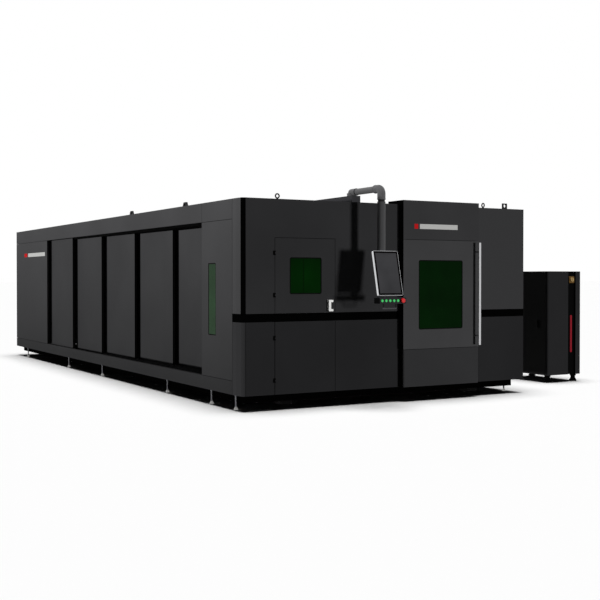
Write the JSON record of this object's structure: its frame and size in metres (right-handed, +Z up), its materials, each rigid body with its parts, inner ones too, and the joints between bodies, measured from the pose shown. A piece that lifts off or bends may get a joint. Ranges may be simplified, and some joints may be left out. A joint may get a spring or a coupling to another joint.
{
  "type": "laser cutting machine",
  "caption": "Enclosed gantry laser cutting machine for large plates, with a telescopic side door, front door, hatches, operator pendant and a separate power cabinet.",
  "frame": {"origin": "centre of the machine's and its cabinet's box, on the floor", "axes": "+Y from the operator's front to the back, along the long side; +X to the right seen from the front; +Z up"},
  "size_m": [5.86, 10.643, 2.5895],
  "materials": {
    "graphite_paint": "satin fine-texture powder coat",
    "frame_paint": "matte black paint",
    "black_trim": "satin black",
    "leaf_paint": "satin fine-texture powder coat",
    "steel": "brushed",
    "zinc": "zinc plated",
    "filter_glass": "dark green laser filter",
    "slit_glass": "pale green laser filter",
    "white_cast": "gloss white",
    "pendant_paint": "satin",
    "monitor_case": "anodised",
    "screen_glass": "gloss",
    "button_green": "translucent gloss",
    "button_red": "gloss",
    "switch_yellow": "gloss",
    "light_red": "lit translucent",
    "bed_steel": "machine grey",
    "slat_steel": "raw mild steel",
    "magnet_epoxy": "cast resin",
    "gantry_alu": "machined",
    "head_blue": "satin",
    "source_grey": "satin",
    "cabinet_paint": "satin",
    "cabinet_black": "satin",
    "rubber": "matte"
  },
  "bodies": {
    "machine": {"enclosure_frame": "frame_paint", "levelling_feet": "zinc", "corner_post": "leaf_paint", "side_bands": "leaf_paint", "side_end_panels": "leaf_paint", "slit_window": "slit_glass", "side_door_rails": "black_trim", "front_upper_panel": "graphite_paint", "front_infill_panels": "graphite_paint", "trim_band": "black_trim", "door_header": "graphite_paint", "door_skirt": "graphite_paint", "door_frame": "black_trim", "right_wall": "graphite_paint", "rear_wall": "graphite_paint", "roof": "graphite_paint", "lifting_eyes": "zinc", "roof_trunk": "pendant_paint", "fume_outlet": "zinc", "hatch_hinges": "black_trim", "machine_bed": "bed_steel", "guide_rails": "steel", "magnet_tracks": "magnet_epoxy", "slat_table": "bed_steel", "cutting_slats": "slat_steel", "scrap_trays": "bed_steel", "cabinet_body": "cabinet_paint", "cabinet_feet": "rubber", "cabinet_light": "light_red", "switch_plate": "switch_yellow", "laser_source": "source_grey"},
    "leaf_1": {"side_door_leaf_1": "leaf_paint"},
    "leaf_2": {"side_door_leaf_2": "leaf_paint"},
    "leaf_3": {"side_door_leaf_3": "leaf_paint"},
    "leaf_4": {"side_door_leaf_4": "leaf_paint"},
    "leaf_5": {"side_door_leaf_5": "leaf_paint"},
    "upper_hatch": {"hatch_door": "graphite_paint", "hatch_window": "filter_glass", "hatch_handle": "white_cast"},
    "lower_hatch": {"lower_hatch": "graphite_paint"},
    "front_door": {"front_door": "graphite_paint", "door_window": "filter_glass", "door_pull": "steel"},
    "arm": {"pendant_arm": "pendant_paint"},
    "pendant": {"drop_tube": "pendant_paint", "monitor_housing": "monitor_case", "screen": "screen_glass", "button_box": "pendant_paint"},
    "button_1": {"push_button_1": "button_green"},
    "button_2": {"push_button_2": "button_green"},
    "button_3": {"push_button_3": "button_green"},
    "button_4": {"push_button_4": "button_green"},
    "button_5": {"push_button_5": "button_green"},
    "stop_button": {"emergency_stop": "button_red"},
    "gantry": {"gantry_beam": "gantry_alu", "linear_motors": "cabinet_black"},
    "carriage": {"head_carriage": "gantry_alu"},
    "head": {"cutting_head": "head_blue"},
    "cabinet_door": {"cabinet_door": "cabinet_black"},
    "main_switch": {"switch_knob": "button_red"}
  },
  "joints": [
    {"name": "leaf_1_slide", "type": "slide", "parent": "machine", "child": "leaf_1", "axis": [0, 1, 0], "range_m": [0, 1.255]},
    {"name": "leaf_2_slide", "type": "slide", "parent": "machine", "child": "leaf_2", "axis": [0, 1, 0], "range_m": [0, 2.51]},
    {"name": "leaf_3_slide", "type": "slide", "parent": "machine", "child": "leaf_3", "axis": [0, 1, 0], "range_m": [0, 3.765]},
    {"name": "leaf_4_slide", "type": "slide", "parent": "machine", "child": "leaf_4", "axis": [0, 1, 0], "range_m": [0, 5.02]},
    {"name": "leaf_5_slide", "type": "slide", "parent": "machine", "child": "leaf_5", "axis": [0, 1, 0], "range_m": [0, 6.275]},
    {"name": "upper_hatch_swing", "type": "hinge", "parent": "machine", "child": "upper_hatch", "pos_m": [-2.50652, -4.7255, 1.318], "axis": [0, 0, -1], "range_deg": [0, 110]},
    {"name": "lower_hatch_swing", "type": "hinge", "parent": "machine", "child": "lower_hatch", "pos_m": [-2.50652, -4.7255, 0.505], "axis": [0, 0, -1], "range_deg": [0, 110]},
    {"name": "front_door_swing", "type": "hinge", "parent": "machine", "child": "front_door", "pos_m": [-0.76207, -4.778, 0.633], "axis": [0, 0, -1], "range_deg": [0, 90]},
    {"name": "arm_swing", "type": "hinge", "parent": "machine", "child": "arm", "pos_m": [-1.29399, -4.4295, 2.495], "axis": [0, 0, 1], "range_deg": [-30, 12]},
    {"name": "pendant_turn", "type": "hinge", "parent": "arm", "child": "pendant", "pos_m": [-1.29399, -5.0685, 2.411], "axis": [0, 0, 1], "range_deg": [-30, 30]},
    {"name": "button_1_press", "type": "slide", "parent": "pendant", "child": "button_1", "axis": [0, 1, 0], "range_m": [0, 0.004], "stiffness_N_per_m": 900},
    {"name": "button_2_press", "type": "slide", "parent": "pendant", "child": "button_2", "axis": [0, 1, 0], "range_m": [0, 0.004], "stiffness_N_per_m": 900},
    {"name": "button_3_press", "type": "slide", "parent": "pendant", "child": "button_3", "axis": [0, 1, 0], "range_m": [0, 0.004], "stiffness_N_per_m": 900},
    {"name": "button_4_press", "type": "slide", "parent": "pendant", "child": "button_4", "axis": [0, 1, 0], "range_m": [0, 0.004], "stiffness_N_per_m": 900},
    {"name": "button_5_press", "type": "slide", "parent": "pendant", "child": "button_5", "axis": [0, 1, 0], "range_m": [0, 0.004], "stiffness_N_per_m": 900},
    {"name": "stop_press", "type": "slide", "parent": "pendant", "child": "stop_button", "axis": [0, 1, 0], "range_m": [0, 0.006], "stiffness_N_per_m": 1500},
    {"name": "gantry_travel", "type": "slide", "parent": "machine", "child": "gantry", "axis": [0, 1, 0], "range_m": [0, 7.1]},
    {"name": "carriage_travel", "type": "slide", "parent": "gantry", "child": "carriage", "axis": [1, 0, 0], "range_m": [-1.69, 0.78]},
    {"name": "head_lift", "type": "slide", "parent": "carriage", "child": "head", "axis": [0, 0, 1], "range_m": [-0.14, 0]},
    {"name": "cabinet_door_swing", "type": "hinge", "parent": "machine", "child": "cabinet_door", "pos_m": [2.308, -3.0285, 0.108], "axis": [0, 0, -1], "range_deg": [0, 100]},
    {"name": "main_switch_turn", "type": "hinge", "parent": "machine", "child": "main_switch", "pos_m": [2.7685, -3.9745, 1.48], "axis": [0, 1, 0], "range_deg": [0, 90]}
  ],
  "couplings": [
    {"joint": "leaf_1_slide", "follows": "leaf_5_slide", "ratio": 0.2},
    {"joint": "leaf_2_slide", "follows": "leaf_5_slide", "ratio": 0.4},
    {"joint": "leaf_3_slide", "follows": "leaf_5_slide", "ratio": 0.6},
    {"joint": "leaf_4_slide", "follows": "leaf_5_slide", "ratio": 0.8}
  ]
}
